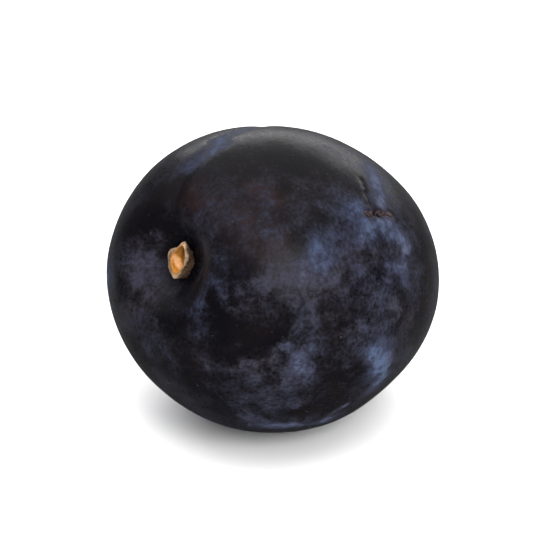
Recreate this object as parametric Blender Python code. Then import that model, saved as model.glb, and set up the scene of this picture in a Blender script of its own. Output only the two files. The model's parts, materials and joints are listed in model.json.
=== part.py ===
"""A ripe plum, with the short stub of its stalk still in the hollow at the stalk end.

Metres, with +Z up. The plum lies on a small flat spot with its stalk end towards -Y and tilted up.
The origin is on the surface that it lies on, under the middle of its bounding box.
"""

import math

import bmesh
import bpy
from mathutils import Matrix, Vector

# The fruit, measured from its middle. Its own Z runs out of the stalk end, and its own Y is its upper side.
HALF_WIDTH = 0.0248
HALF_HEIGHT = 0.0237
HALF_LENGTH = 0.0273
SHOULDER = 0.035  # how much wider the stalk half is than the middle, as a share, and the far half narrower
STALK_END_TILT = math.radians(25)  # of the fruit's own Z above the level
FLAT_SPOT_DEPTH = 0.0006  # how far the weight presses the lowest side in

# The hollow that the stalk grows from
HOLLOW_DEPTH = 0.0065
HOLLOW_FLOOR_RADIUS = 0.0010
HOLLOW_WALL_RUN = 0.0058  # outwards from the floor, to where it is a third as deep
HOLLOW_RIM_RADIUS = 0.0092

# The seam that runs from the hollow to the tip, on the upper side
SEAM_AZIMUTH = math.radians(108)  # about the fruit's own Z, from its own X
SEAM_DEPTH = 0.00030
SEAM_HALF_WIDTH = 0.0015
SEAM_NOTCH_DEPTH = 0.00045  # how much deeper it is where it leaves the hollow
SEAM_NOTCH_HALF_LENGTH = 0.0050
SEAM_DIP_DEPTH = 0.0002
SEAM_DIP_HALF_WIDTH = 0.0060
SEAM_END_RADIUS = 0.0060  # how near the axis the seam fades out

# The tip, opposite the stalk
TIP_HEIGHT = 0.0004
TIP_RADIUS = 0.0013

# Gentle unevenness: where on the fruit (in its own axes), how wide as an angle, and how high
SWELLINGS = (
    (Vector((0.73, -0.42, -0.54)), math.radians(22), -0.0007),
    (Vector((0.56, 0.60, -0.57)), math.radians(24), 0.0004),
    (Vector((0.24, -0.94, 0.22)), math.radians(26), 0.0003),
    (Vector((-0.70, -0.20, -0.65)), math.radians(28), 0.0004),
    (Vector((-0.85, 0.10, 0.50)), math.radians(20), -0.0003),
)

# The stub of the stalk, which widens to its broken end
STUB_HALF_WIDTH = 0.0020
STUB_HALF_HEIGHT = 0.0033
STUB_HALF_LENGTH = 0.0021
STUB_FOOT = 0.60  # the width of its foot, as a share of its end's
STUB_LEAN = math.radians(8)  # towards the fruit's upper side
STUB_SIDES = 5
STUB_SIDE_DEPTH = 0.08
STUB_SQUARENESS = 0.45
STUB_SPLIT_DEPTH = 0.0005
STUB_SPLIT_HALF_WIDTH = 0.0008
STUB_SUNK = 0.0012  # how much of it is below the hollow's floor
SOCKET_GAP = 0.0003

# How finely each piece is divided
FRUIT_SEGMENTS = 80
FRUIT_RINGS = 48
STUB_SEGMENTS = 30
STUB_RINGS = 18
CROWDING = 0.5  # how much closer the fruit's divisions are at the hollow and at the seam

HOLLOW_FLOOR = HALF_LENGTH - HOLLOW_DEPTH
STUB_MIDDLE = STUB_HALF_LENGTH - STUB_SUNK  # above the hollow's floor


def clear_scene():
    for obj in list(bpy.data.objects):
        bpy.data.objects.remove(obj, do_unlink=True)


def collection(name):
    made = bpy.data.collections.new(name)
    bpy.context.scene.collection.children.link(made)
    return made


def material(name, colour, roughness):
    made = bpy.data.materials.new(name)
    made.use_nodes = True
    shader = made.node_tree.nodes["Principled BSDF"]
    shader.inputs["Base Color"].default_value = (*colour, 1)
    shader.inputs["Roughness"].default_value = roughness
    shader.inputs["Metallic"].default_value = 0
    return made


def crowd(angle):
    """Moves an angle towards 0, most where it is already small, and leaves half a turn where it is."""
    return angle - CROWDING * math.sin(angle) * (1 + math.cos(angle)) / 2


def bell(distance, half_width):
    return math.exp(-((distance / half_width) ** 2))


def hollow(from_axis):
    """How far the hollow lowers the stalk end, at this distance from the axis."""
    return HOLLOW_DEPTH * bell(max(from_axis - HOLLOW_FLOOR_RADIUS, 0), HOLLOW_WALL_RUN)


def fruit_point(polar, from_seam):
    """The fruit's skin at an angle from the stalk end and an angle round from the seam."""
    polar = crowd(polar)
    from_seam = crowd(from_seam)
    azimuth = SEAM_AZIMUTH + from_seam
    width = math.sin(polar) * (1 + SHOULDER * math.cos(polar))
    point = Vector(
        (
            HALF_WIDTH * width * math.cos(azimuth),
            HALF_HEIGHT * width * math.sin(azimuth),
            HALF_LENGTH * math.cos(polar),
        )
    )
    outward = point.normalized()
    from_axis = point.xy.length

    lift = sum(height * bell(outward.angle(where), wide) for where, wide, height in SWELLINGS)
    across = from_axis * math.sin(from_seam)
    fade = max(math.cos(from_seam), 0) * (1 - bell(from_axis, SEAM_END_RADIUS))
    seam_depth = SEAM_DEPTH
    if polar < math.pi / 2:
        seam_depth += SEAM_NOTCH_DEPTH * bell(from_axis - HOLLOW_RIM_RADIUS, SEAM_NOTCH_HALF_LENGTH)
    lift -= seam_depth * bell(across, SEAM_HALF_WIDTH) * fade
    lift -= SEAM_DIP_DEPTH * bell(across, SEAM_DIP_HALF_WIDTH) * fade
    if polar > math.pi / 2:
        lift += TIP_HEIGHT * bell(from_axis, TIP_RADIUS)
    else:
        point.z -= hollow(from_axis)
        lift *= min(from_axis / HOLLOW_RIM_RADIUS, 1)
    return point + outward * lift


def rounded(value, squareness):
    """A sine or cosine pushed towards 1 or -1, which turns a ball into a rounded drum."""
    return math.copysign(abs(value) ** squareness, value)


def stub_spread(along):
    """The stub's width at a place along it, from -1 at its foot to 1 at its end, as a share of its end's."""
    return STUB_FOOT + (1 - STUB_FOOT) * ((1 + along) / 2) ** 2


def stub_point(polar, azimuth):
    """The stub's bark and broken end at an angle from its outer end and an angle round."""
    along = rounded(math.cos(polar), STUB_SQUARENESS)
    corners = 1 + STUB_SIDE_DEPTH * math.cos(STUB_SIDES * azimuth - math.pi / 2)
    width = rounded(math.sin(polar), STUB_SQUARENESS) * stub_spread(along) * corners
    point = Vector(
        (
            STUB_HALF_WIDTH * width * math.cos(azimuth),
            STUB_HALF_HEIGHT * width * math.sin(azimuth),
            STUB_HALF_LENGTH * along,
        )
    )
    if along > 0:
        across_split = point.x + point.y * 0.5
        point.z -= STUB_SPLIT_DEPTH * bell(across_split, STUB_SPLIT_HALF_WIDTH) * along
    return point


def shaped_ball(name, segments, rings, shape):
    """A UV sphere whose points move to where the shape puts them, from their two angles."""
    mesh = bpy.data.meshes.new(name)
    ball = bmesh.new()
    bmesh.ops.create_uvsphere(ball, u_segments=segments, v_segments=rings, radius=1)
    for vertex in ball.verts:
        polar = math.acos(max(-1, min(1, vertex.co.z)))
        vertex.co = shape(polar, math.atan2(vertex.co.y, vertex.co.x))
    bmesh.ops.recalc_face_normals(ball, faces=ball.faces)
    for face in ball.faces:
        face.smooth = True
    ball.to_mesh(mesh)
    ball.free()
    return bpy.data.objects.new(name, mesh)


def socket_cutter():
    """An oval peg as wide as the stub's foot and its gap, which reaches down to just under the foot."""
    depth = STUB_SUNK + SOCKET_GAP
    spread = stub_spread(-STUB_MIDDLE / STUB_HALF_LENGTH) * (1 + STUB_SIDE_DEPTH)
    half_width = STUB_HALF_WIDTH * spread + SOCKET_GAP
    half_height = STUB_HALF_HEIGHT * spread + SOCKET_GAP
    mesh = bpy.data.meshes.new("socket_cutter")
    peg = bmesh.new()
    bmesh.ops.create_cone(
        peg,
        cap_ends=True,
        segments=STUB_SEGMENTS,
        radius1=1,
        radius2=1,
        depth=2 * depth,
        matrix=Matrix.Diagonal((half_width, half_height, 1, 1)),
    )
    peg.to_mesh(mesh)
    peg.free()
    return bpy.data.objects.new("socket_cutter", mesh)


def press_flat_spot(fruit, standing):
    """Presses the lowest side up to a level face, and returns the height of that face."""
    lowest = min((standing @ vertex.co).z for vertex in fruit.data.vertices)
    floor = lowest + FLAT_SPOT_DEPTH
    for vertex in fruit.data.vertices:
        placed = standing @ vertex.co
        placed.z = max(placed.z, floor)
        vertex.co = standing.inverted() @ placed
    return floor


def middle_in_plan(fruit, standing):
    placed = [standing @ vertex.co for vertex in fruit.data.vertices]
    across = [point.x for point in placed]
    along = [point.y for point in placed]
    return (min(across) + max(across)) / 2, (min(along) + max(along)) / 2


def build():
    clear_scene()
    plum = collection("plum")
    cutters = collection("cutters")
    standing = Matrix.Rotation(math.pi / 2 - STALK_END_TILT, 4, "X")

    fruit = shaped_ball("fruit", FRUIT_SEGMENTS, FRUIT_RINGS, fruit_point)
    fruit.data.materials.append(material("plum_skin", (0.020, 0.019, 0.030), 0.5))
    plum.objects.link(fruit)
    floor = press_flat_spot(fruit, standing)
    middle = middle_in_plan(fruit, standing)
    place = Vector((-middle[0], -middle[1], -floor))
    fruit.matrix_world = Matrix.Translation(place) @ standing

    lean = Matrix.Rotation(-STUB_LEAN, 4, "X")
    rooted = fruit.matrix_world @ Matrix.Translation((0, 0, HOLLOW_FLOOR)) @ lean
    cutter = socket_cutter()
    cutter.hide_render = True
    cutter.matrix_world = rooted
    cutters.objects.link(cutter)
    socket = fruit.modifiers.new("socket", "BOOLEAN")
    socket.object = cutter
    socket.operation = "DIFFERENCE"
    socket.solver = "EXACT"

    stem = shaped_ball("stem", STUB_SEGMENTS, STUB_RINGS, stub_point)
    stem.data.materials.append(material("stalk_wood", (0.255, 0.140, 0.069), 0.8))
    plum.objects.link(stem)
    stem.matrix_world = rooted @ Matrix.Translation((0, 0, STUB_MIDDLE))


build()
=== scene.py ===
"""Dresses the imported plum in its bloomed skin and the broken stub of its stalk, and sets up the studio.

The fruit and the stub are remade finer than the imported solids, from the same sizes and in the same place.
Lengths are in metres unless a comment says otherwise. A place on the skin is a pair of angles in degrees:
round the stalk's axis, starting from the fruit's own X, and down from the stalk end.
"""

import json
import math
import random
import bpy
import numpy as np
from bpy.props import FloatProperty, FloatVectorProperty, IntProperty, PointerProperty
from mathutils import Matrix, Vector, noise

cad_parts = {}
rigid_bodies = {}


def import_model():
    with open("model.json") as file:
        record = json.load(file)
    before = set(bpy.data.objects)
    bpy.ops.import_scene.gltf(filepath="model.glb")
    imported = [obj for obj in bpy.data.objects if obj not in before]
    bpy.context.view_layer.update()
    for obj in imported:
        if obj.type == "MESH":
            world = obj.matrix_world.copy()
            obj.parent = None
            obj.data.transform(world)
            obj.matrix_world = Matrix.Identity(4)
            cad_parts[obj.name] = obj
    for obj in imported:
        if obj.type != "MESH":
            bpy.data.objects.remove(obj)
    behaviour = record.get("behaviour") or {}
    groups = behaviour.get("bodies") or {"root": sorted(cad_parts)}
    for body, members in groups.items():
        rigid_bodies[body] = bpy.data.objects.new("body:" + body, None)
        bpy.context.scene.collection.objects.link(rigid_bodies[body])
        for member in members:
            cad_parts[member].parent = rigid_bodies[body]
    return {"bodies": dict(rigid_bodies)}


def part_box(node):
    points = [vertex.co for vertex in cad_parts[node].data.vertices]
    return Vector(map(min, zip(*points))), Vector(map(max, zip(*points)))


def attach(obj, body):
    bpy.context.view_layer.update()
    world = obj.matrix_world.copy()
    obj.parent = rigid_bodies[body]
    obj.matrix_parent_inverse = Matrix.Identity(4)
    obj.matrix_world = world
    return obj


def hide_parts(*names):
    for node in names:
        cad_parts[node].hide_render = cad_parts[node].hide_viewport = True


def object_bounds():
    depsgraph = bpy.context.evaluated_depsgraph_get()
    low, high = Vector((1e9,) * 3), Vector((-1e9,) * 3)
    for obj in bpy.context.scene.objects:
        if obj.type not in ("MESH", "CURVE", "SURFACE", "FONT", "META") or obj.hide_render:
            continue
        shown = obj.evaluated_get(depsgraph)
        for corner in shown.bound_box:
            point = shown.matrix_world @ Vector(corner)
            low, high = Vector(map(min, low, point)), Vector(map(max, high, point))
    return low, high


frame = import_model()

bl_info = {
    "name": "Ripe Plum",
    "version": (1, 0, 0),
    "blender": (4, 5, 0),
    "location": "3D View > Sidebar > Plum",
    "description": "Builds the bloomed skin, the stalk stub and the studio of one ripe dark plum",
    "category": "Add Mesh",
}

BODY = next(iter(frame["bodies"]))
CAD_LOW, CAD_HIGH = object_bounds()
FRUIT_LOW, FRUIT_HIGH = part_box("fruit")

# How many points the stub has round it and from end to end
STUB_SEGMENTS = 168
STUB_RINGS = 128
# How many points are enough to find the fruit's place
COARSE_SEGMENTS = 120
COARSE_RINGS = 60
# How strongly the fruit's points are crowded towards the stalk end and towards the nick
CROWD_TO_STALK = 0.45
CROWD_TO_NICK = 0.5
# The radius in millimetres that marks are measured at, and how far they fade, as a share of their half width
SKIN_RADIUS = 25.0
MARK_FADE = 1.25
# The place on the skin that faces the camera: marks drawn at random stay away from its side
FACING = (15, 62)
# Each light's turn and rise round the object in degrees, its distance, and its width and height
KEY_SOFTBOX = (70, 30, 0.8, (0.45, 0.45))
BACK_BOARD = (213, 15, 1.0, (1.2, 0.30))
FLOOR_WASH = (0, 90, 1.2, (1.6, 1.6))
# The floor's tone in its darker clouds, and how bright the skin sees the floor, as shares of its colour
FLOOR_CLOUD = 0.985
FLOOR_MIRRORED = 0.06

# How high or deep the stub's splinter, the cleft beside it, and the bark's ridges and roughness are
SPLINTER_HEIGHT = 0.00060
CLEFT_DEPTH = 0.00035
BARK_RIDGES = 0.00006
BARK_ROUGHNESS = 0.00008
# Where the stub's lower left corner is cut back, as an angle in radians, and how drum-like its shape is
CUT_CORNER = -2.15
STUB_SQUARENESS = 0.45

# Swellings and flats of the fruit: the direction, the half width in degrees, and the height
SWELLINGS = (
    ((0.73, -0.42, -0.54), 22, -0.0007),
    ((0.56, 0.60, -0.57), 24, 0.0004),
    ((0.24, -0.94, 0.22), 26, 0.0003),
    ((-0.70, -0.20, -0.65), 28, 0.0004),
    ((-0.85, 0.10, 0.50), 20, -0.0003),
)
# Shallow dents: the place, the half width and the depth in millimetres
DENTS = (
    ((20, 62), 2.2, 0.06),
    ((68, 84), 2.6, 0.10),
    ((-20, 78), 3.0, 0.08),
    ((-48, 58), 2.4, 0.07),
    ((150, 70), 2.8, 0.09),
    ((-120, 95), 3.2, 0.10),
    ((-170, 120), 2.6, 0.08),
)
# The valley that the seam lies in, the tip's point and the pit in it, and the folds down the hollow's wall.
# Each is its half width and its height.
SEAM_VALLEY = (0.0060, 0.0002)
TIP_POINT = (0.0013, 0.0004)
TIP_PIT = (0.0005, 0.0005)
WALL_FOLDS = (0.0016, 0.00011)
# The half width of the seam, how far it wanders, how far the notch runs, and how far out the folds are
SEAM_HALF_WIDTH = 0.0015
SEAM_WANDER = 0.00035
NOTCH_REACH = 0.0050
FOLDS_OUT = 0.0036
# The healed nick on the cheek, its four holes with their half widths in millimetres, and the crack above it
NICK = ((41, 76.5), (42, 90))
NICK_HOLES = (((41.2, 79.2), 0.30), ((41.8, 81.4), 0.55), ((41.0, 83.8), 0.48), ((42.2, 86.8), 0.26))
CRACK = ((56.5, 82.2), (50, 80.6), (44.5, 80.2))
# The nick's groove and raised lip, and the crack's groove: the half width in millimetres, and the height
# as a share of the nick's depth. The lip runs this far out from the nick's line, in millimetres.
NICK_GROOVE = (0.50, 0.60)
NICK_LIP = (0.45, 0.12)
NICK_LIP_OUT = 1.05
CRACK_GROOVE = (0.45, 0.45)

# Marks on the skin: thick bloom, worn skin, bluer skin and blushes. One bloom mark is also a painted
# highlight, and some wear marks are painted shade and painted shadow. Each is the places it runs through, its
# half width in millimetres, and its strength.
THICK_BLOOM_AND_HIGHLIGHT = (
    (((108, 37), (105, 41), (103, 46)), 2.0, 0.95),
    (((110, 52), (108, 61), (108, 72)), 1.6, 0.80),
    (((62, 92), (53, 89), (45, 87)), 1.4, 0.95),
    (((43, 75), (37, 74), (31, 73)), 1.6, 0.80),
    (((38.8, 82), (38.2, 89)), 1.05, 1.00),
    (((35.5, 74), (35, 90)), 1.1, 0.62),
    (((33, 93), (30, 95)), 1.05, 1.00),
    (((46, 61), (38, 66), (31, 62), (31, 55)), 1.9, 0.42),
    (((28, 53), (22, 57), (16, 58)), 1.2, 0.58),
    # Painted highlight: thin bloom laid where the key light's soft highlight falls, to brighten it.
    (((19, 48), (19, 58)), 2.8, 0.34),
    (((18, 71), (14, 74)), 1.3, 0.26),
    (((22, 92), (16, 94)), 1.5, 0.48),
    (((21, 84), (12, 84), (7, 89)), 1.6, 0.56),
    (((12, 80), (2, 75)), 1.6, 0.28),
    (((-11, 29), (-4, 30)), 1.5, 0.50),
    (((12, 40), (12, 43), (6, 48)), 2.2, 0.40),
    (((36, 37), (33, 38)), 1.3, 0.36),
    (((54, 42), (52, 42)), 1.0, 0.16),
    (((-60, 54), (-56, 58)), 1.2, 0.25),
    (((-5, 18), (-2, 23), (-9, 28)), 1.2, 0.42),
    (((-19, 53), (-14, 53)), 1.4, 0.56),
    (((-10, 52), (-2, 53)), 1.5, 0.36),
    (((-60, 15), (-40, 21), (-42, 27)), 1.4, 0.30),
    (((-50, 40), (-40, 44), (-31, 46), (-23, 49), (-17, 53), (-18, 60)), 1.0, 0.49),
    (((-33, 50), (-27, 53), (-23, 60)), 2.0, 0.34),
    (((-23, 62), (-23, 67)), 1.5, 0.36),
    (((-48, 66), (-42, 70)), 1.5, 0.30),
    (((-10, 88), (-14, 95)), 1.8, 0.86),
    (((-14, 96), (-22, 101)), 1.4, 0.75),
    (((-60, 68), (-57, 78), (-53, 86), (-44, 97)), 1.6, 0.77),
    (((-41, 89), (-35, 94)), 0.7, 0.75),
    (((-20, 17), (-28, 25)), 1.0, 0.55),
)
RUBBED_SKIN_AND_SHADE = (
    # Painted shade: the hollow's lower wall under the stub, wiped bare and dark.
    (((-85, 13), (-55, 16), (-28, 17)), 2.4, 0.80),
    (((91, 42), (80, 43), (74, 53), (63, 66)), 3.0, 0.85),
    # Painted shade: the seam's valley where it meets the hollow, wiped dark.
    (((140, 21), (122, 23), (108, 25)), 2.3, 1.00),
    (((168, 25), (150, 20)), 2.2, 0.85),
    (((-18, 28), (-24, 37), (-16, 46)), 3.2, 1.00),
    (((-21, 72), (-30, 84)), 2.0, 0.85),
    (((-43, 75), (-38, 86)), 1.3, 0.95),
    (((62, 78), (56, 76)), 1.6, 0.60),
    (((-2, 62), (-9, 70), (-14, 79)), 1.5, 0.50),
    # Painted shadow of a neighbouring fruit on the lower left.
    (((-70, 32), (-68, 41)), 1.6, 0.45),
    (((33, 26), (22, 31)), 1.6, 0.40),
    (((5, 94), (0, 95)), 1.3, 0.40),
    (((-33, 39), (-30, 43)), 1.1, 0.50),
    # Painted shadow of a neighbouring fruit, close to where it touches.
    (((-60, 32), (-59, 37)), 1.5, 0.85),
    (((-49, 51), (-46, 54)), 1.2, 0.30),
    (((16, 110), (6, 110)), 2.0, 0.90),
    (((44, 112), (22, 113), (2, 112)), 1.8, 0.80),
    (((53, 49), (48, 55)), 2.0, 0.55),
)
COOL_SKIN = (
    (((114, 35), (108, 44), (108, 66)), 2.5, 0.65),
    (((42, 74), (34, 74), (34, 88)), 2.2, 0.85),
    (((28, 53), (23, 56)), 2.0, 0.80),
    (((48, 94), (36, 98), (26, 104)), 2.0, 0.70),
    (((-57, 42), (-50, 48)), 2.0, 0.60),
    (((-36, 84), (-20, 90), (0, 92)), 2.2, 0.60),
    (((-44, 52), (-40, 58)), 2.0, 0.60),
    (((42, 68), (31, 62), (31, 54)), 2.6, 0.80),
    (((20, 84), (2, 75)), 2.0, 0.50),
    (((-60, 14), (-40, 21), (-43, 28)), 2.2, 0.90),
    (((-57, 78), (-44, 97)), 2.2, 0.60),
    (((-18, 54), (-2, 53)), 2.0, 0.50),
    (((-7, 84), (-20, 99)), 3.0, 1.00),
    (((-25, 60), (-24, 68)), 2.2, 0.60),
    (((-62, 42), (-54, 60)), 3.0, 0.45),
    (((20, 24), (-10, 20), (-30, 22)), 3.0, 0.90),
    (((150, 22), (120, 34), (95, 60)), 4.0, 0.55),
)
BLUSH = (
    (((62, 40), (54, 43)), 1.4, 1.00),
    (((47, 33), (37, 36), (30, 38)), 2.2, 0.82),
    (((92, 24), (78, 23), (62, 26)), 2.0, 0.70),
    (((44, 74), (44, 90)), 1.2, 0.35),
)


def clamped(value, low=0.0, high=1.0):
    return np.minimum(np.maximum(value, low), high)


def bell(distance, half_width):
    return np.exp(-((distance / half_width) ** 2))


def hump(distance, size):
    """A soft rise. Its size is its half width and its height."""
    half_width, height = size
    return height * bell(distance, half_width)


def rounded(value, squareness):
    """A sine or cosine pushed towards 1 or -1, which turns a ball into a rounded drum."""
    return np.copysign(np.abs(value) ** squareness, value)


def crowd(angle, share):
    """Moves angles towards 0, most where they are already small, and leaves half a turn where it is."""
    return angle - share * np.sin(angle) * (1 + np.cos(angle)) / 2


def direction(place):
    """The unit vector from the fruit's middle towards a place on its skin."""
    azimuth, polar = (math.radians(angle) for angle in place)
    return np.array(
        [math.sin(polar) * math.cos(azimuth), math.sin(polar) * math.sin(azimuth), math.cos(polar)]
    )


def to_stroke(outward, places):
    """How far each skin point is from a line through these places, in millimetres."""
    corners = [direction(place) for place in places]
    nearest = np.full(len(outward), np.inf)
    for start, end in zip(corners, corners[1:]):
        run = end - start
        share = clamped((outward - start) @ run / (run @ run))
        nearest = np.minimum(nearest, np.linalg.norm(outward - start - share[:, None] * run, axis=1))
    return nearest * SKIN_RADIUS


def to_dot(outward, place):
    """How far each skin point is from a dot, drawn as a very short line, in millimetres."""
    azimuth, polar = place
    return to_stroke(outward, (place, (azimuth + 0.5, polar)))


def uneven(points, size, seed):
    """Smooth noise at each point, between -1 and 1, with swells of this size."""
    shift = Vector((seed * 17.3, seed * 5.1, seed * 9.7))
    return np.array([noise.noise(Vector(point) / size + shift) for point in points])


def wavering(points, size, seed):
    """Smooth noise as a vector at each point, which bends the outlines of marks."""
    noise.seed_set(seed)
    shift = Vector((seed * 17.3, seed * 5.1, seed * 9.7))
    return np.array([noise.noise_vector(Vector(point) / size + shift) for point in points])


def ragged(outward):
    """The directions, bent so that the outlines of scars are ragged."""
    return outward + wavering(outward, 0.035, 32) * 0.014


def ball_angles(segments, rings):
    """The two angles of a ball's points: the stalk end, then ring after ring, then the tip."""
    down = np.linspace(0, math.pi, rings + 1)[1:-1]
    round_axis = np.linspace(-math.pi, math.pi, segments, endpoint=False)
    polar = np.concatenate([[0], np.repeat(down, segments), [math.pi]])
    azimuth = np.concatenate([[0], np.tile(round_axis, rings - 1), [0]])
    return polar, azimuth


def ball_mesh(name, points, segments, rings):
    """A closed smooth mesh on points that lie ring after ring."""
    column = np.arange(segments)
    beside = (column + 1) % segments
    upper = 1 + segments * np.arange(rings - 2)[:, None]
    lower = upper + segments
    last = len(points) - 1
    last_ring = last - segments
    quads = np.stack([upper + column, lower + column, lower + beside, upper + beside], axis=-1)
    faces = quads.reshape(-1, 4).tolist()
    faces += np.stack([np.zeros(segments, int), 1 + column, 1 + beside], axis=1).tolist()
    faces += np.stack([last_ring + column, np.full(segments, last), last_ring + beside], axis=1).tolist()
    mesh = bpy.data.meshes.new(name)
    mesh.from_pydata(points.tolist(), [], faces)
    mesh.shade_smooth()
    return mesh


def paint(mesh, name, values):
    """Writes one number or one vector for each point, which a material reads by its name."""
    kind, key = ("FLOAT", "value") if values.ndim == 1 else ("FLOAT_VECTOR", "vector")
    layer = mesh.attributes.new(name, kind, "POINT")
    layer.data.foreach_set(key, values.astype(np.float32).ravel())


def add_piece(name, mesh, placed, material, node):
    """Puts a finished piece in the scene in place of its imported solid."""
    mesh.transform(placed)
    mesh.materials.append(material)
    piece = bpy.data.objects.new(name, mesh)
    bpy.context.scene.collection.objects.link(piece)
    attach(piece, BODY)
    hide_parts(node)


# Shader trees

def add(tree, kind, inputs=None, **settings):
    """Adds a shader node with its settings. An input is a value, or another node's output."""
    made = tree.nodes.new(kind)
    for name, value in settings.items():
        setattr(made, name, value)
    for name, value in (inputs or {}).items():
        if isinstance(value, bpy.types.NodeSocket):
            tree.links.new(value, made.inputs[name])
        else:
            made.inputs[name].default_value = value
    return made


def sums(tree, operation, first, second):
    return add(tree, "ShaderNodeMath", {0: first, 1: second}, operation=operation).outputs[0]


def times(tree, first, second):
    return sums(tree, "MULTIPLY", first, second)


def total(tree, *values):
    result = values[0]
    for value in values[1:]:
        result = sums(tree, "ADD", result, value)
    return result


def ramp(tree, value, low, high, to_low=0.0, to_high=1.0):
    """A value turned from one range to another, softly, with the ends held."""
    inputs = {"Value": value, "From Min": low, "From Max": high, "To Min": to_low, "To Max": to_high}
    return add(tree, "ShaderNodeMapRange", inputs, interpolation_type="SMOOTHSTEP").outputs["Result"]


def between(tree, mask, at_none, at_full):
    """A mask turned into a number between these two."""
    return ramp(tree, mask, 0, 1, at_none, at_full)


def blend_colours(tree, share, below, above):
    made = add(tree, "ShaderNodeMix", {0: share, 6: below, 7: above}, data_type="RGBA")
    return made.outputs[2]


def painted(tree, name, output="Fac"):
    """What was painted on the mesh under this name."""
    return add(tree, "ShaderNodeAttribute", attribute_name=name).outputs[output]


def opaque(colour, share=1.0):
    """A colour for a shader, darkened to this share."""
    return (*(value * share for value in colour), 1.0)


def effect(name, inputs):
    """An empty shader group with one output, Mask: its tree, its inputs and a function that sets Mask."""
    tree = bpy.data.node_groups.new(name, "ShaderNodeTree")
    for label, kind, default in inputs:
        made = tree.interface.new_socket(name=label, in_out="INPUT", socket_type=kind)
        if kind == "NodeSocketFloat":
            made.default_value = default
    tree.interface.new_socket(name="Mask", in_out="OUTPUT", socket_type="NodeSocketFloat")
    entry = tree.nodes.new("NodeGroupInput")
    leave = tree.nodes.new("NodeGroupOutput")
    return tree, entry.outputs, lambda value: tree.links.new(value, leave.inputs["Mask"])


def number(label, default):
    return label, "NodeSocketFloat", default


PLACE = ("Vector", "NodeSocketVector", None)


def mottle_effect():
    """Clouds with soft edges between Low and High."""
    inputs = (PLACE, number("Scale", 200), number("Detail", 3), number("Low", 0.35), number("High", 0.65))
    tree, given, leave = effect("Mottle", inputs)
    clouds = add(
        tree,
        "ShaderNodeTexNoise",
        {"Vector": given["Vector"], "Scale": given["Scale"], "Detail": given["Detail"], "Roughness": 0.6},
    )
    leave(ramp(tree, clouds.outputs["Fac"], given["Low"], given["High"]))
    return tree


def speck_effect():
    """Round specks, one in a Share of the cells, each as big as Size of its cell."""
    inputs = (PLACE, number("Scale", 600), number("Size", 0.2), number("Share", 0.5))
    tree, given, leave = effect("Specks", inputs)
    cells = add(tree, "ShaderNodeTexVoronoi", {"Vector": given["Vector"], "Scale": given["Scale"]})
    draw = add(tree, "ShaderNodeSeparateColor", {"Color": cells.outputs["Color"]})
    size = times(tree, given["Size"], between(tree, draw.outputs["Green"], 0.5, 1))
    inner = times(tree, size, 0.45)
    dot = ramp(tree, cells.outputs["Distance"], size, inner)
    there = sums(tree, "LESS_THAN", draw.outputs["Red"], given["Share"])
    leave(times(tree, dot, there))
    return tree


def streak_effect():
    """Fine lines that run along the vector's Z, Stretch times as long as they are wide."""
    inputs = (PLACE, number("Scale", 40), number("Stretch", 8), number("Low", 0.5), number("High", 0.7))
    tree, given, leave = effect("Streaks", inputs)
    length = sums(tree, "DIVIDE", 1.0, given["Stretch"])
    thin = add(tree, "ShaderNodeCombineXYZ", {"X": 1.0, "Y": 1.0, "Z": length})
    drawn_out = add(
        tree, "ShaderNodeVectorMath", {0: given["Vector"], 1: thin.outputs[0]}, operation="MULTIPLY"
    )
    lines = add(
        tree,
        "ShaderNodeTexNoise",
        {"Vector": drawn_out.outputs[0], "Scale": given["Scale"], "Detail": 4.0, "Roughness": 0.65},
    )
    leave(ramp(tree, lines.outputs["Fac"], given["Low"], given["High"]))
    return tree


def torn_edge_effect():
    """A painted cover whose edge is torn by noise, at two sizes, and softened."""
    inputs = (
        number("Cover", 0.5),
        PLACE,
        number("Scale", 400),
        number("Tear", 0.6),
        number("Softness", 0.2),
    )
    tree, given, leave = effect("Torn Edge", inputs)
    fray = add(
        tree,
        "ShaderNodeTexNoise",
        {"Vector": given["Vector"], "Scale": given["Scale"], "Detail": 5.0, "Roughness": 0.62},
    )
    pull = times(tree, sums(tree, "SUBTRACT", fray.outputs["Fac"], 0.5), given["Tear"])
    cover = sums(tree, "ADD", given["Cover"], pull)
    low = sums(tree, "SUBTRACT", 0.5, given["Softness"])
    high = sums(tree, "ADD", 0.5, given["Softness"])
    leave(ramp(tree, cover, low, high))
    return tree


EFFECTS = {
    "Mottle": mottle_effect,
    "Specks": speck_effect,
    "Streaks": streak_effect,
    "Torn Edge": torn_edge_effect,
}


def effect_mask(tree, name, vector, **inputs):
    """Places a shared effect, which is built the first time. Its inputs are given in small letters."""
    group = bpy.data.node_groups.get(name) or EFFECTS[name]()
    named = {"Vector": vector} | {key.title(): value for key, value in inputs.items()}
    return add(tree, "ShaderNodeGroup", named, node_tree=group).outputs["Mask"]


def new_material(name):
    """A material with its shader tree and its Principled BSDF."""
    made = bpy.data.materials.new(name)
    made.use_nodes = True
    return made, made.node_tree, made.node_tree.nodes["Principled BSDF"]


# The settings that a user would change

def colour_property(name, description, default):
    return FloatVectorProperty(
        name=name, description=description, default=default, subtype="COLOR", size=3, min=0, max=1
    )


def length_property(name, description, default):
    return FloatProperty(
        name=name, description=description, default=default, subtype="DISTANCE", unit="LENGTH", precision=5
    )


def share_property(name, description, default):
    return FloatProperty(name=name, description=description, default=default, min=0, soft_max=1)


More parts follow.
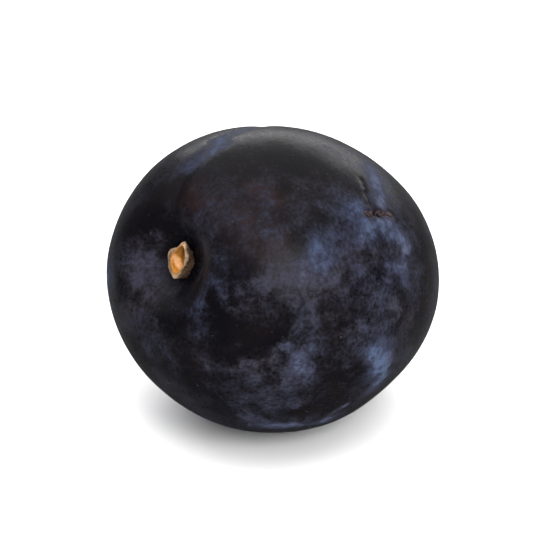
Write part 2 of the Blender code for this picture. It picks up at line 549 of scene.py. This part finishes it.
class PlumForm(bpy.types.PropertyGroup):
    """The sizes of the fruit and of its stalk stub."""

    half_width: length_property("Half Width", "From the middle to the side", 0.0248)
    half_height: length_property("Half Height", "From the middle to the upper side", 0.0237)
    half_length: length_property("Half Length", "From the middle to the tip", 0.0273)
    tilt: FloatProperty(
        name="Tilt",
        description="How far the stalk end is raised above the level",
        default=math.radians(25),
        subtype="ANGLE",
    )
    shoulder: share_property("Shoulder", "How much wider the stalk half is", 0.035)
    hollow_depth: length_property("Hollow Depth", "How deep the hollow round the stalk is", 0.0065)
    hollow_floor: length_property("Hollow Floor", "The radius of its flat floor", 0.0010)
    hollow_wall: length_property("Hollow Wall", "How far out its wall is a third as deep", 0.0058)
    hollow_rim: length_property("Hollow Rim", "The radius of its soft rim", 0.0092)
    seam_azimuth: FloatProperty(
        name="Seam",
        description="Where the seam runs, round the stalk axis",
        default=math.radians(108),
        subtype="ANGLE",
    )
    seam_depth: length_property("Seam Depth", "The depth of the seam on the cheek", 0.0003)
    notch_depth: length_property("Notch Depth", "How much deeper it is by the hollow", 0.00045)
    unevenness: length_property("Unevenness", "The height of the skin's gentle swells", 0.00007)
    nick_depth: length_property("Nick Depth", "The depth of the healed nick", 0.0004)
    segments: IntProperty(name="Segments", description="Divisions round the fruit", default=396, min=24)
    rings: IntProperty(name="Rings", description="Divisions from end to end", default=248, min=12)
    stub_half_width: length_property("Stub Half Width", "Half the stub's width at its end", 0.0020)
    stub_half_height: length_property("Stub Half Height", "Half the stub's height at its end", 0.0033)
    stub_half_length: length_property("Stub Half Length", "Half the stub's length", 0.0021)
    stub_sunk: length_property("Stub Sunk", "How much of the stub is in the flesh", 0.0012)
    stub_foot: share_property("Stub Foot", "The foot's width as a share of the end's", 0.60)
    stub_lean: FloatProperty(
        name="Stub Lean",
        description="How far the stub leans towards the upper side",
        default=math.radians(8),
        subtype="ANGLE",
    )


class PlumColours(bpy.types.PropertyGroup):
    """The colours of the skin, its bloom and the stalk."""

    skin: colour_property("Skin", "Bare ripe skin", (0.0028, 0.0024, 0.0040))
    skin_warm: colour_property("Warm Skin", "Bare skin where it is redder", (0.0056, 0.0040, 0.0050))
    blush: colour_property("Blush", "The reddest places", (0.0270, 0.0130, 0.0125))
    veil: colour_property("Warm Veil", "Thin bloom, where it is mauve", (0.0225, 0.0200, 0.0265))
    veil_cool: colour_property("Cool Veil", "Thin bloom, where it is slate blue", (0.0160, 0.0185, 0.0335))
    bloom: colour_property("Bloom", "Thick bloom, where it is lavender", (0.0390, 0.0375, 0.0600))
    bloom_cool: colour_property("Cool Bloom", "Thick bloom, where it is blue", (0.0320, 0.0395, 0.0740))
    bloom_pale: colour_property("Pale Bloom", "The thickest bloom", (0.0840, 0.0890, 0.1290))
    bloom_pale_cool: colour_property("Pale Cool Bloom", "Thickest, where blue", (0.0560, 0.0810, 0.1480))
    lenticel: colour_property("Lenticels", "The skin's pale dots", (0.1500, 0.1350, 0.1350))
    cork: colour_property("Cork", "The healed nick and the tip", (0.0800, 0.0530, 0.0540))
    bark: colour_property("Bark", "The stalk's bark", (0.1200, 0.0660, 0.0360))
    bark_pale: colour_property("Pale Bark", "The bark's torn edges", (0.5600, 0.3800, 0.2300))
    wood: colour_property("Wood", "The broken wood", (0.5000, 0.1900, 0.0120))
    wood_pale: colour_property("Pale Wood", "The newest broken fibres", (0.6600, 0.3300, 0.1450))
    floor: colour_property("Floor", "The floor", (0.9000, 0.9000, 0.9000))


class PlumStudio(bpy.types.PropertyGroup):
    """The camera and the lights."""

    azimuth: FloatProperty(
        name="Azimuth",
        description="Round the object, from the stalk's side",
        default=math.radians(45),
        subtype="ANGLE",
    )
    elevation: FloatProperty(
        name="Elevation", description="Above the level", default=math.radians(26), subtype="ANGLE"
    )
    distance: length_property("Distance", "From the object's middle to the camera", 0.76)
    fill: share_property("Fill", "The object's width as a share of the picture's", 0.62)
    side_light: share_property("Side Light", "The studio's brightness at the sides", 0.09)
    overhead_light: share_property("Overhead Light", "The studio's brightness above", 1.45)
    backdrop: share_property("Backdrop", "How bright the camera sees the studio past the floor", 0.905)
    key_power: FloatProperty(name="Key", description="The soft light at the right, in watts", default=3.5)
    back_power: FloatProperty(name="Back", description="The board behind, in watts", default=3.2)
    wash_power: FloatProperty(name="Wash", description="The light on the floor alone, in watts", default=24)


# The fruit

def fruit_form(form, polar, azimuth):
    """The skin's points in its own axes, their directions, and their distances from the stalk's axis."""
    from_seam = azimuth - form.seam_azimuth
    width = np.sin(polar) * (1 + form.shoulder * np.cos(polar))
    points = np.stack(
        [
            form.half_width * width * np.cos(azimuth),
            form.half_height * width * np.sin(azimuth),
            form.half_length * np.cos(polar),
        ],
        axis=1,
    )
    outward = points / np.linalg.norm(points, axis=1)[:, None]
    from_axis = np.hypot(points[:, 0], points[:, 1])
    stalk_half = np.cos(polar) > 0

    lift = np.zeros(len(points))
    for where, half_width, height in SWELLINGS:
        angle = np.arccos(clamped(outward @ (np.array(where) / np.linalg.norm(where)), -1, 1))
        lift += hump(angle, (math.radians(half_width), height))
    across = from_axis * np.sin(from_seam)
    fade = np.maximum(np.cos(from_seam), 0) * (1 - bell(from_axis, SEAM_VALLEY[0]))
    notch = form.notch_depth * bell(from_axis - form.hollow_rim, NOTCH_REACH) * stalk_half
    wander = SEAM_WANDER * np.sin(from_axis * 420)
    lift -= (form.seam_depth + notch) * bell(across + wander, SEAM_HALF_WIDTH) * fade
    lift -= hump(across, SEAM_VALLEY) * fade
    lift += hump(from_axis, TIP_POINT) * ~stalk_half
    lift -= hump(from_axis, TIP_PIT) * ~stalk_half

    for place, half_width, depth in DENTS:
        lift -= hump(to_dot(outward, place), (half_width, depth / 1000))
    torn = ragged(outward)
    to_nick = to_stroke(torn, NICK)
    lift -= form.nick_depth * hump(to_nick, NICK_GROOVE)
    lift += form.nick_depth * hump(to_nick - NICK_LIP_OUT, NICK_LIP)
    for place, half_width in NICK_HOLES:
        lift -= form.nick_depth * bell(to_dot(torn, place), half_width)
    lift -= form.nick_depth * hump(to_stroke(torn, CRACK), CRACK_GROOVE)
    lift += form.unevenness * uneven(points, 0.0075, 1)
    lift += form.unevenness * 0.35 * uneven(points, 0.0028, 2)

    up_wall = np.maximum(from_axis - form.hollow_floor, 0)
    points[:, 2] -= stalk_half * form.hollow_depth * bell(up_wall, form.hollow_wall)
    lift *= np.where(stalk_half, clamped(from_axis / form.hollow_rim), 1)
    folds = np.cos(13 * azimuth + 2.5 * np.sin(3 * azimuth))
    lift += folds * hump(from_axis - FOLDS_OUT, WALL_FOLDS) * stalk_half
    return points + outward * lift[:, None], outward, from_axis


def scattered_marks(seed, count, half_widths, strengths):
    """Marks drawn at random for the sides that the camera doesn't see."""
    draw = random.Random(seed)
    marks = []
    while len(marks) < count:
        place = (draw.uniform(-180, 180), math.degrees(math.acos(draw.uniform(-0.95, 0.9))))
        if direction(place) @ direction(FACING) > -0.05:
            continue
        run = [place]
        heading = draw.uniform(0, 2 * math.pi)
        for _ in range(draw.randint(1, 3)):
            heading += draw.uniform(-0.7, 0.7)
            step = draw.uniform(4, 10)
            sideways = step * math.cos(heading) / max(0.3, math.sin(math.radians(run[-1][1])))
            run.append((run[-1][0] + sideways, run[-1][1] + step * math.sin(heading)))
        marks.append((tuple(run), draw.uniform(*half_widths), draw.uniform(*strengths)))
    return tuple(marks)


def mark_layer(outward, marks):
    """How strongly the marks cover each point: most along their middles, fading past their half widths."""
    bare = np.ones(len(outward))
    for places, half_width, strength in marks:
        bare *= 1 - strength * bell(to_stroke(outward, places), half_width * MARK_FADE)
    return 1 - bare


def paint_fruit(mesh, polar, azimuth, outward, from_axis):
    """Paints where the bloom is thick or worn off, and where the skin is red, blue or healed; some wear marks
    are painted shade, one bloom mark is a painted highlight, and the hollow's floor, the crack and the nick's
    holes get painted shade.
    """
    stalk_half = np.cos(polar) > 0
    # Painted shade: the bloom in the hollow is thinned towards one side, so that wall of the hollow is
    # darker.
    shaded_side = math.radians(70)
    kept_side = (0.5 - 0.5 * np.cos(azimuth - shaded_side)) ** 2
    in_hollow = stalk_half * bell(from_axis - 0.0060, 0.0030) * kept_side
    hidden_bloom = scattered_marks(seed=11, count=44, half_widths=(0.7, 2.6), strengths=(0.45, 1.0))
    hidden_rubs = scattered_marks(seed=12, count=16, half_widths=(1.5, 4.0), strengths=(0.5, 0.9))
    hidden_blush = scattered_marks(seed=13, count=7, half_widths=(1.5, 3.0), strengths=(0.5, 0.9))
    bent = outward + wavering(outward, 0.20, 15) * 0.020 + wavering(outward, 0.07, 31) * 0.028
    bloom = mark_layer(bent, THICK_BLOOM_AND_HIGHLIGHT + hidden_bloom)
    rubbed_and_shade = mark_layer(bent, RUBBED_SKIN_AND_SHADE + hidden_rubs)
    paint(mesh, "bloom", np.maximum(bloom, 0.42 * in_hollow))
    # Painted shade: the bloom is wiped off right round the stalk's foot, so the hollow's floor is dark.
    paint(mesh, "rubbed_and_shade", np.maximum(rubbed_and_shade, stalk_half * bell(from_axis, 0.0028)))
    paint(mesh, "blush", mark_layer(bent, BLUSH + hidden_blush))
    paint(mesh, "cool", mark_layer(bent, COOL_SKIN))

    torn = ragged(outward)
    nick = bell(to_stroke(torn, NICK), 0.62)
    tip = bell(from_axis, 0.0011) * ~stalk_half
    paint(mesh, "healed", np.maximum(nick, tip))
    # Painted shade: the hollow's floor round the stalk, the crack and the nick's holes are painted as bare
    # black skin.
    crack = 0.75 * bell(to_stroke(torn, CRACK), 0.55)
    hollow_floor = 0.9 * stalk_half * bell(from_axis, 0.0044)
    holes = [bell(to_dot(torn, place), half_width) for place, half_width in NICK_HOLES]
    paint(mesh, "painted_shade", np.maximum.reduce([crack, hollow_floor, *holes]))
    paint(mesh, "meridian", np.stack([np.cos(azimuth), np.sin(azimuth), polar], axis=1))


def skin_material(colours):
    """Blue-black skin under bloom, thick in smears and worn off in places, with blush, dots and scars; the
    painted masks also carry painted shade and a painted highlight.
    """
    made, tree, shader = new_material("plum_skin_bloomed")
    place = add(tree, "ShaderNodeTexCoord").outputs["Object"]
    meridian = painted(tree, "meridian", "Vector")
    drifts = effect_mask(tree, "Mottle", place, scale=80.0, detail=2.0, low=0.36, high=0.64)
    clouds = effect_mask(tree, "Mottle", place, scale=150.0, detail=2.0, low=0.30, high=0.70)
    patches = effect_mask(tree, "Mottle", place, scale=400.0, detail=3.0, low=0.26, high=0.74)
    spotted = effect_mask(tree, "Mottle", place, scale=1500.0, detail=3.0, low=0.42, high=0.62)
    grain = effect_mask(tree, "Mottle", place, scale=1700.0, detail=3.0, low=0.24, high=0.76)
    wipes = effect_mask(tree, "Streaks", meridian, scale=24.0, stretch=7.0, low=0.40, high=0.66)
    dots = effect_mask(tree, "Specks", place, scale=640.0, size=0.14, share=0.55)
    dust = effect_mask(tree, "Specks", place, scale=1500.0, size=0.22, share=0.06)
    scar = painted(tree, "healed")
    healed = effect_mask(tree, "Torn Edge", place, cover=scar, scale=900.0, tear=0.8, softness=0.15)

    skin = blend_colours(tree, clouds, opaque(colours.skin), opaque(colours.skin_warm))
    blush = times(tree, painted(tree, "blush"), between(tree, patches, 0.45, 1.0))
    skin = blend_colours(tree, blush, skin, opaque(colours.blush))
    skin = blend_colours(tree, times(tree, dots, 0.18), skin, opaque(colours.lenticel))

    wax = total(
        tree,
        between(tree, clouds, -0.06, 0.28),
        between(tree, patches, -0.05, 0.12),
        between(tree, grain, -0.13, 0.17),
        between(tree, wipes, -0.02, 0.05),
        # Thick bloom, which in one mark also stands in for a highlight, and worn skin, which in places is
        # painted shade.
        times(tree, painted(tree, "bloom"), between(tree, patches, 0.68, 1.0)),
        times(tree, painted(tree, "rubbed_and_shade"), between(tree, patches, -0.50, -0.34)),
    )
    cool = sums(tree, "MAXIMUM", painted(tree, "cool"), times(tree, drifts, 0.7))
    veil = ramp(tree, wax, low=-0.10, high=0.64)
    veil_colour = blend_colours(tree, cool, opaque(colours.veil), opaque(colours.veil_cool))
    surface = blend_colours(tree, times(tree, veil, 0.94), skin, veil_colour)
    bloom = ramp(tree, wax, low=0.26, high=0.90)
    bloom_colour = blend_colours(tree, cool, opaque(colours.bloom), opaque(colours.bloom_cool))
    surface = blend_colours(tree, bloom, surface, bloom_colour)
    pale = ramp(tree, wax, low=0.66, high=1.22)
    pale_colour = blend_colours(tree, cool, opaque(colours.bloom_pale), opaque(colours.bloom_pale_cool))
    surface = blend_colours(tree, pale, surface, pale_colour)
    surface = blend_colours(tree, times(tree, dots, 0.09), surface, opaque(colours.lenticel))
    surface = blend_colours(tree, times(tree, dust, 0.22), surface, opaque(colours.bloom_pale))

    cork = blend_colours(tree, spotted, opaque(colours.cork, 0.22), opaque(colours.cork))
    surface = blend_colours(tree, times(tree, healed, 0.9), surface, cork)
    # Painted shade: bare black skin in the hollow's floor, the crack and the nick's holes, also lowered a
    # little in the bump.
    painted_shade = ramp(tree, painted(tree, "painted_shade"), low=0.25, high=0.9)
    surface = blend_colours(tree, times(tree, painted_shade, 0.9), surface, opaque(colours.skin))
    tree.links.new(surface, shader.inputs["Base Color"])

    rough = total(tree, between(tree, veil, 0.26, 0.40), between(tree, bloom, 0.0, 0.24))
    rough = sums(tree, "MAXIMUM", rough, between(tree, healed, 0.30, 0.85))
    rough = total(tree, rough, between(tree, grain, -0.03, 0.04))
    tree.links.new(rough, shader.inputs["Roughness"])

    height = total(
        tree,
        between(tree, grain, 0.0, 0.25),
        between(tree, dots, 0.0, 0.2),
        between(tree, bloom, 0.0, 0.35),
        between(tree, painted_shade, 0.0, -1.0),
        between(tree, healed, 0.0, -0.4),
    )
    bump = add(tree, "ShaderNodeBump", {"Height": height, "Strength": 0.5, "Distance": 0.00008})
    tree.links.new(bump.outputs["Normal"], shader.inputs["Normal"])

    shader.inputs["Specular IOR Level"].default_value = 0.085
    shader.inputs["Sheen Weight"].default_value = 0.02
    shader.inputs["Sheen Roughness"].default_value = 0.4
    shader.inputs["Sheen Tint"].default_value = (0.80, 0.83, 0.95, 1)
    return made


def lying(form):
    """The turn that lays the fruit on its side, with the stalk end raised."""
    return Matrix.Rotation(math.pi / 2 - form.tilt, 4, "X")


def stand_on_floor(points, turn):
    """Presses the lowest side flat. Returns the points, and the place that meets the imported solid's box."""
    placed = points @ np.array(turn.to_3x3()).T
    middle = (placed.min(axis=0) + placed.max(axis=0)) / 2
    shift = (FRUIT_LOW + FRUIT_HIGH) / 2 - Vector(middle)
    shift.z = FRUIT_HIGH.z - placed[:, 2].max()
    placed += np.array(shift)
    placed[:, 2] = np.maximum(placed[:, 2], 0)
    pressed = (placed - np.array(shift)) @ np.array(turn.to_3x3())
    return pressed, Matrix.Translation(shift) @ turn


def fruit_place(form):
    """The fruit's place in the frame, from the form alone, with few points."""
    down = np.linspace(0.01, math.pi, COARSE_RINGS)
    round_axis = np.linspace(-math.pi, math.pi, COARSE_SEGMENTS)
    polar, azimuth = np.meshgrid(down, round_axis)
    points, _, _ = fruit_form(form, polar.ravel(), azimuth.ravel())
    return stand_on_floor(points, lying(form))[1]


class PLUM_OT_fruit(bpy.types.Operator):
    """Builds the fruit's skin, with its hollow, seam, tip, nick and bloom."""

    bl_idname = "plum.fruit"
    bl_label = "Fruit"

    def execute(self, context):
        form = context.scene.plum_form
        polar, azimuth = ball_angles(form.segments, form.rings)
        polar = crowd(polar, CROWD_TO_STALK)
        azimuth = math.radians(NICK[0][0]) + crowd(azimuth, CROWD_TO_NICK)
        points, outward, from_axis = fruit_form(form, polar, azimuth)
        points, placed = stand_on_floor(points, lying(form))
        mesh = ball_mesh("fruit_skin", points, form.segments, form.rings)
        paint_fruit(mesh, polar, azimuth, outward, from_axis)
        skin = skin_material(context.scene.plum_colours)
        add_piece("fruit_skin", mesh, placed, skin, "fruit")
        return {"FINISHED"}


# The stub

def stub_form(form, polar, azimuth):
    """The stub's points in its own axes, and the masks of its broken end."""
    along = rounded(np.cos(polar), STUB_SQUARENESS)
    near_end = clamped(along)
    spread = form.stub_foot + (1 - form.stub_foot) * ((1 + along) / 2) ** 2
    corners = 1 + 0.08 * np.cos(5 * azimuth - math.pi / 2)
    corners += 0.10 * bell(azimuth - math.pi / 2, 0.35) * near_end
    corners -= 0.42 * bell(2 * np.sin((azimuth - CUT_CORNER) / 2), 0.60) * near_end
    width = rounded(np.sin(polar), STUB_SQUARENESS) * spread * corners
    x = form.stub_half_width * 0.94 * width * np.cos(azimuth)
    y = form.stub_half_height * width * np.sin(azimuth)
    z = form.stub_half_length * along

    sideways, upwards = x / form.stub_half_width, y / form.stub_half_height
    end = clamped((along - 0.70) / 0.15)
    lip = end * bell(np.hypot(sideways, upwards) - 0.86, 0.22)
    leaning = sideways + 0.26 * upwards
    from_recess = np.hypot((leaning - 0.09) / (0.62 - 0.12 * upwards), (upwards - 0.10) / 0.76)
    recess = end * clamped((1 - from_recess) / 0.26)
    down_right = 0.78 * (x - 0.0001) - 0.62 * (y + 0.0001)
    across = 0.62 * (x - 0.0001) + 0.78 * (y + 0.0001)
    splinter = bell(np.hypot(down_right / 0.00130, across / 0.00055), 1.0) * end
    cleft = bell(leaning - 0.16, 0.09) * recess * clamped(upwards * 3 + 0.6)
    fibres = uneven(np.stack([sideways * 7, upwards * 3, np.zeros(len(sideways))], axis=1), 1.0, 3)
    z -= near_end * 0.0006 * sideways
    z += lip * (0.00012 + 0.00014 * np.sin(azimuth * 7 + 1.3 * np.sin(azimuth * 3)))
    z -= recess * (0.00065 + 0.00030 * clamped(upwards * 1.5) - 0.00010 * fibres)
    z += splinter * SPLINTER_HEIGHT - cleft * CLEFT_DEPTH

    side = np.sqrt(clamped(1 - np.abs(along) ** 6))
    ridges = np.cos(19 * azimuth + 1.8 * np.sin(azimuth * 2)) * BARK_RIDGES * side
    rough = uneven(np.stack([x, y, z * 0.35], axis=1), 0.0006, 4) * BARK_ROUGHNESS
    radial = (ridges + rough) / np.maximum(np.hypot(x, y), 1e-6) * (1 - end)
    points = np.stack([x * (1 + radial), y * (1 + radial), z], axis=1)
    # Painted shade: the wood is darker deep in the recess and in the cleft, more towards the upper side, and
    # not on the splinter.
    deep = clamped(recess * (0.35 + clamped(upwards + 0.5)) + cleft) * (1 - splinter)
    return points, {"wood": recess, "deep": deep, "fresh": splinter, "lip": lip}


def stalk_material(colours):
    """Dry ridged bark, torn pale at its edge, round a broken end of orange wood fibres, with painted shade in
    the end's recess and cleft.
    """
    made, tree, shader = new_material("stalk_bark_and_wood")
    place = painted(tree, "grain", "Vector")
    ridges = effect_mask(tree, "Streaks", place, scale=2600.0, stretch=7.0, low=0.36, high=0.64)
    blotches = effect_mask(tree, "Mottle", place, scale=900.0, detail=4.0, low=0.40, high=0.66)
    fibres = effect_mask(tree, "Mottle", place, scale=2300.0, detail=4.0, low=0.34, high=0.66)
    pores = effect_mask(tree, "Specks", place, scale=2600.0, size=0.26, share=0.35)
    broken = painted(tree, "wood")
    end = effect_mask(tree, "Torn Edge", place, cover=broken, scale=1900.0, tear=0.5, softness=0.2)

    bark_dark = opaque(colours.bark, 0.42)
    bark = blend_colours(tree, ridges, bark_dark, opaque(colours.bark))
    bark = blend_colours(tree, times(tree, blotches, 0.18), bark, opaque(colours.bark_pale))
    lip = times(tree, painted(tree, "lip"), between(tree, blotches, 0.55, 1.0))
    bark = blend_colours(tree, lip, bark, opaque(colours.bark_pale))
    bark = blend_colours(tree, times(tree, pores, 0.5), bark, bark_dark)

    wood_pale = opaque(colours.wood_pale)
    wood = blend_colours(tree, times(tree, fibres, 0.22), opaque(colours.wood), wood_pale)
    # Painted shade: darker wood in the end's recess and cleft.
    deep = ramp(tree, painted(tree, "deep"), low=0.30, high=1.0)
    wood = blend_colours(tree, deep, wood, opaque(colours.wood, 0.45))
    fresh = ramp(tree, painted(tree, "fresh"), low=0.20, high=0.75)
    wood = blend_colours(tree, fresh, wood, wood_pale)

    tree.links.new(blend_colours(tree, end, bark, wood), shader.inputs["Base Color"])
    tree.links.new(between(tree, fibres, 0.70, 0.86), shader.inputs["Roughness"])
    height = total(tree, ridges, times(tree, pores, -0.6))
    bump = add(tree, "ShaderNodeBump", {"Height": height, "Strength": 0.6, "Distance": 0.0001})
    tree.links.new(bump.outputs["Normal"], shader.inputs["Normal"])
    shader.inputs["Specular IOR Level"].default_value = 0.3
    return made


class PLUM_OT_stub(bpy.types.Operator):
    """Builds the stub of the stalk, with its bark and its broken end."""

    bl_idname = "plum.stub"
    bl_label = "Stalk Stub"

    def execute(self, context):
        form = context.scene.plum_form
        points, masks = stub_form(form, *ball_angles(STUB_SEGMENTS, STUB_RINGS))
        mesh = ball_mesh("stalk_stub", points, STUB_SEGMENTS, STUB_RINGS)
        paint(mesh, "grain", points)
        for name, values in masks.items():
            paint(mesh, name, values)
        hollow_floor = form.half_length - form.hollow_depth
        rooted = fruit_place(form) @ Matrix.Translation((0, 0, hollow_floor))
        rooted = rooted @ Matrix.Rotation(-form.stub_lean, 4, "X")
        placed = rooted @ Matrix.Translation((0, 0, form.stub_half_length - form.stub_sunk))
        stalk = stalk_material(context.scene.plum_colours)
        add_piece("stalk_stub", mesh, placed, stalk, "stem")
        return {"FINISHED"}


# The stage

def towards(azimuth, elevation):
    """The unit vector from the object to something round it, as the camera's angles are counted."""
    return Vector(
        (
            math.sin(azimuth) * math.cos(elevation),
            -math.cos(azimuth) * math.cos(elevation),
            math.sin(elevation),
        )
    )


def aim(obj, middle, azimuth, elevation, distance):
    back = towards(azimuth, elevation)
    obj.location = middle + back * distance
    obj.rotation_mode = "QUATERNION"
    obj.rotation_quaternion = (-back).to_track_quat("-Z", "Y")


def soft_light(name, middle, turn, rise, distance, size, power):
    """A soft rectangular light at these angles in degrees, which the camera doesn't see itself."""
    lamp = bpy.data.lights.new(name, "AREA")
    lamp.shape = "RECTANGLE"
    lamp.size, lamp.size_y = size
    lamp.energy = power
    obj = bpy.data.objects.new(name, lamp)
    obj.visible_camera = False
    bpy.context.scene.collection.objects.link(obj)
    aim(obj, middle, math.radians(turn), math.radians(rise), distance)
    return obj


def floor_material(colours):
    """Matt white board with the faintest unevenness of tone, dimmer where the skin reflects it."""
    made, tree, shader = new_material("pale_floor")
    place = add(tree, "ShaderNodeTexCoord").outputs["Object"]
    tone = effect_mask(tree, "Mottle", place, scale=6.0, detail=2.0, low=0.3, high=0.7)
    board = blend_colours(tree, tone, opaque(colours.floor, FLOOR_CLOUD), opaque(colours.floor))
    mirrored = add(tree, "ShaderNodeLightPath").outputs["Is Glossy Ray"]
    board = blend_colours(tree, mirrored, board, opaque(colours.floor, FLOOR_MIRRORED))
    tree.links.new(board, shader.inputs["Base Color"])
    shader.inputs["Roughness"].default_value = 0.85
    shader.inputs["Specular IOR Level"].default_value = 0.2
    return made


def light_surround(studio):
    """A studio bright above and dim at the sides, which the camera sees as a plain pale backdrop."""
    world = bpy.data.worlds.new("studio_surround")
    bpy.context.scene.world = world
    world.use_nodes = True
    tree = world.node_tree
    background = tree.nodes["Background"]
    background.inputs["Color"].default_value = (1, 1, 1, 1)
    towards_sky = add(tree, "ShaderNodeTexCoord").outputs["Generated"]
    rise = add(tree, "ShaderNodeSeparateXYZ", {"Vector": towards_sky}).outputs["Z"]
    light = ramp(tree, rise, 0.15, 0.95, studio.side_light, studio.overhead_light)
    seen = add(tree, "ShaderNodeLightPath").outputs["Is Camera Ray"]
    shown = add(tree, "ShaderNodeMix", {"Factor": seen, 2: light, 3: studio.backdrop}, data_type="FLOAT")
    tree.links.new(shown.outputs[0], background.inputs["Strength"])


class PLUM_OT_stage(bpy.types.Operator):
    """Lays the floor, sets the soft lights and points the camera."""

    bl_idname = "plum.stage"
    bl_label = "Stage"

    def execute(self, context):
        studio = context.scene.plum_studio
        bpy.ops.mesh.primitive_plane_add(size=6)
        floor = context.object
        floor.name = "floor"
        floor.data.materials.append(floor_material(context.scene.plum_colours))
        light_surround(studio)

        middle = (CAD_LOW + CAD_HIGH) / 2
        soft_light("key_softbox", middle, *KEY_SOFTBOX, studio.key_power)
        soft_light("back_board", middle, *BACK_BOARD, studio.back_power)
        wash = soft_light("floor_wash", middle, *FLOOR_WASH, studio.wash_power)
        floor_only = bpy.data.collections.new("floor_only")
        floor_only.objects.link(floor)
        wash.light_linking.receiver_collection = floor_only

        lens = bpy.data.cameras.new("camera")
        camera = bpy.data.objects.new("camera", lens)
        context.scene.collection.objects.link(camera)
        aim(camera, middle, studio.azimuth, studio.elevation, studio.distance)
        half_width = (CAD_HIGH - CAD_LOW).y / 2
        lens.lens = lens.sensor_width / 2 / (half_width / studio.fill / studio.distance)
        lens.clip_start = 0.01
        context.scene.camera = camera
        context.scene.view_settings.view_transform = "Standard"
        return {"FINISHED"}


class PLUM_PT_panel(bpy.types.Panel):
    """Lists the plum's pieces and its settings."""

    bl_label = "Ripe Plum"
    bl_idname = "PLUM_PT_panel"
    bl_space_type = "VIEW_3D"
    bl_region_type = "UI"
    bl_category = "Plum"

    def draw(self, context):
        for operator in OPERATORS:
            self.layout.operator(operator.bl_idname)
        for name in SETTINGS:
            settings = getattr(context.scene, name)
            for key in settings.bl_rna.properties.keys():
                if key not in ("rna_type", "name"):
                    self.layout.prop(settings, key)


SETTINGS = {"plum_form": PlumForm, "plum_colours": PlumColours, "plum_studio": PlumStudio}
OPERATORS = (PLUM_OT_fruit, PLUM_OT_stub, PLUM_OT_stage)


def register():
    for kind in (*SETTINGS.values(), *OPERATORS, PLUM_PT_panel):
        bpy.utils.register_class(kind)
    for name, kind in SETTINGS.items():
        setattr(bpy.types.Scene, name, PointerProperty(type=kind))


def unregister():
    for name in SETTINGS:
        delattr(bpy.types.Scene, name)
    for kind in (PLUM_PT_panel, *reversed(OPERATORS), *SETTINGS.values()):
        bpy.utils.unregister_class(kind)


def main():
    register()
    bpy.ops.plum.fruit()
    bpy.ops.plum.stub()
    bpy.ops.plum.stage()


if __name__ == "__main__":
    main()
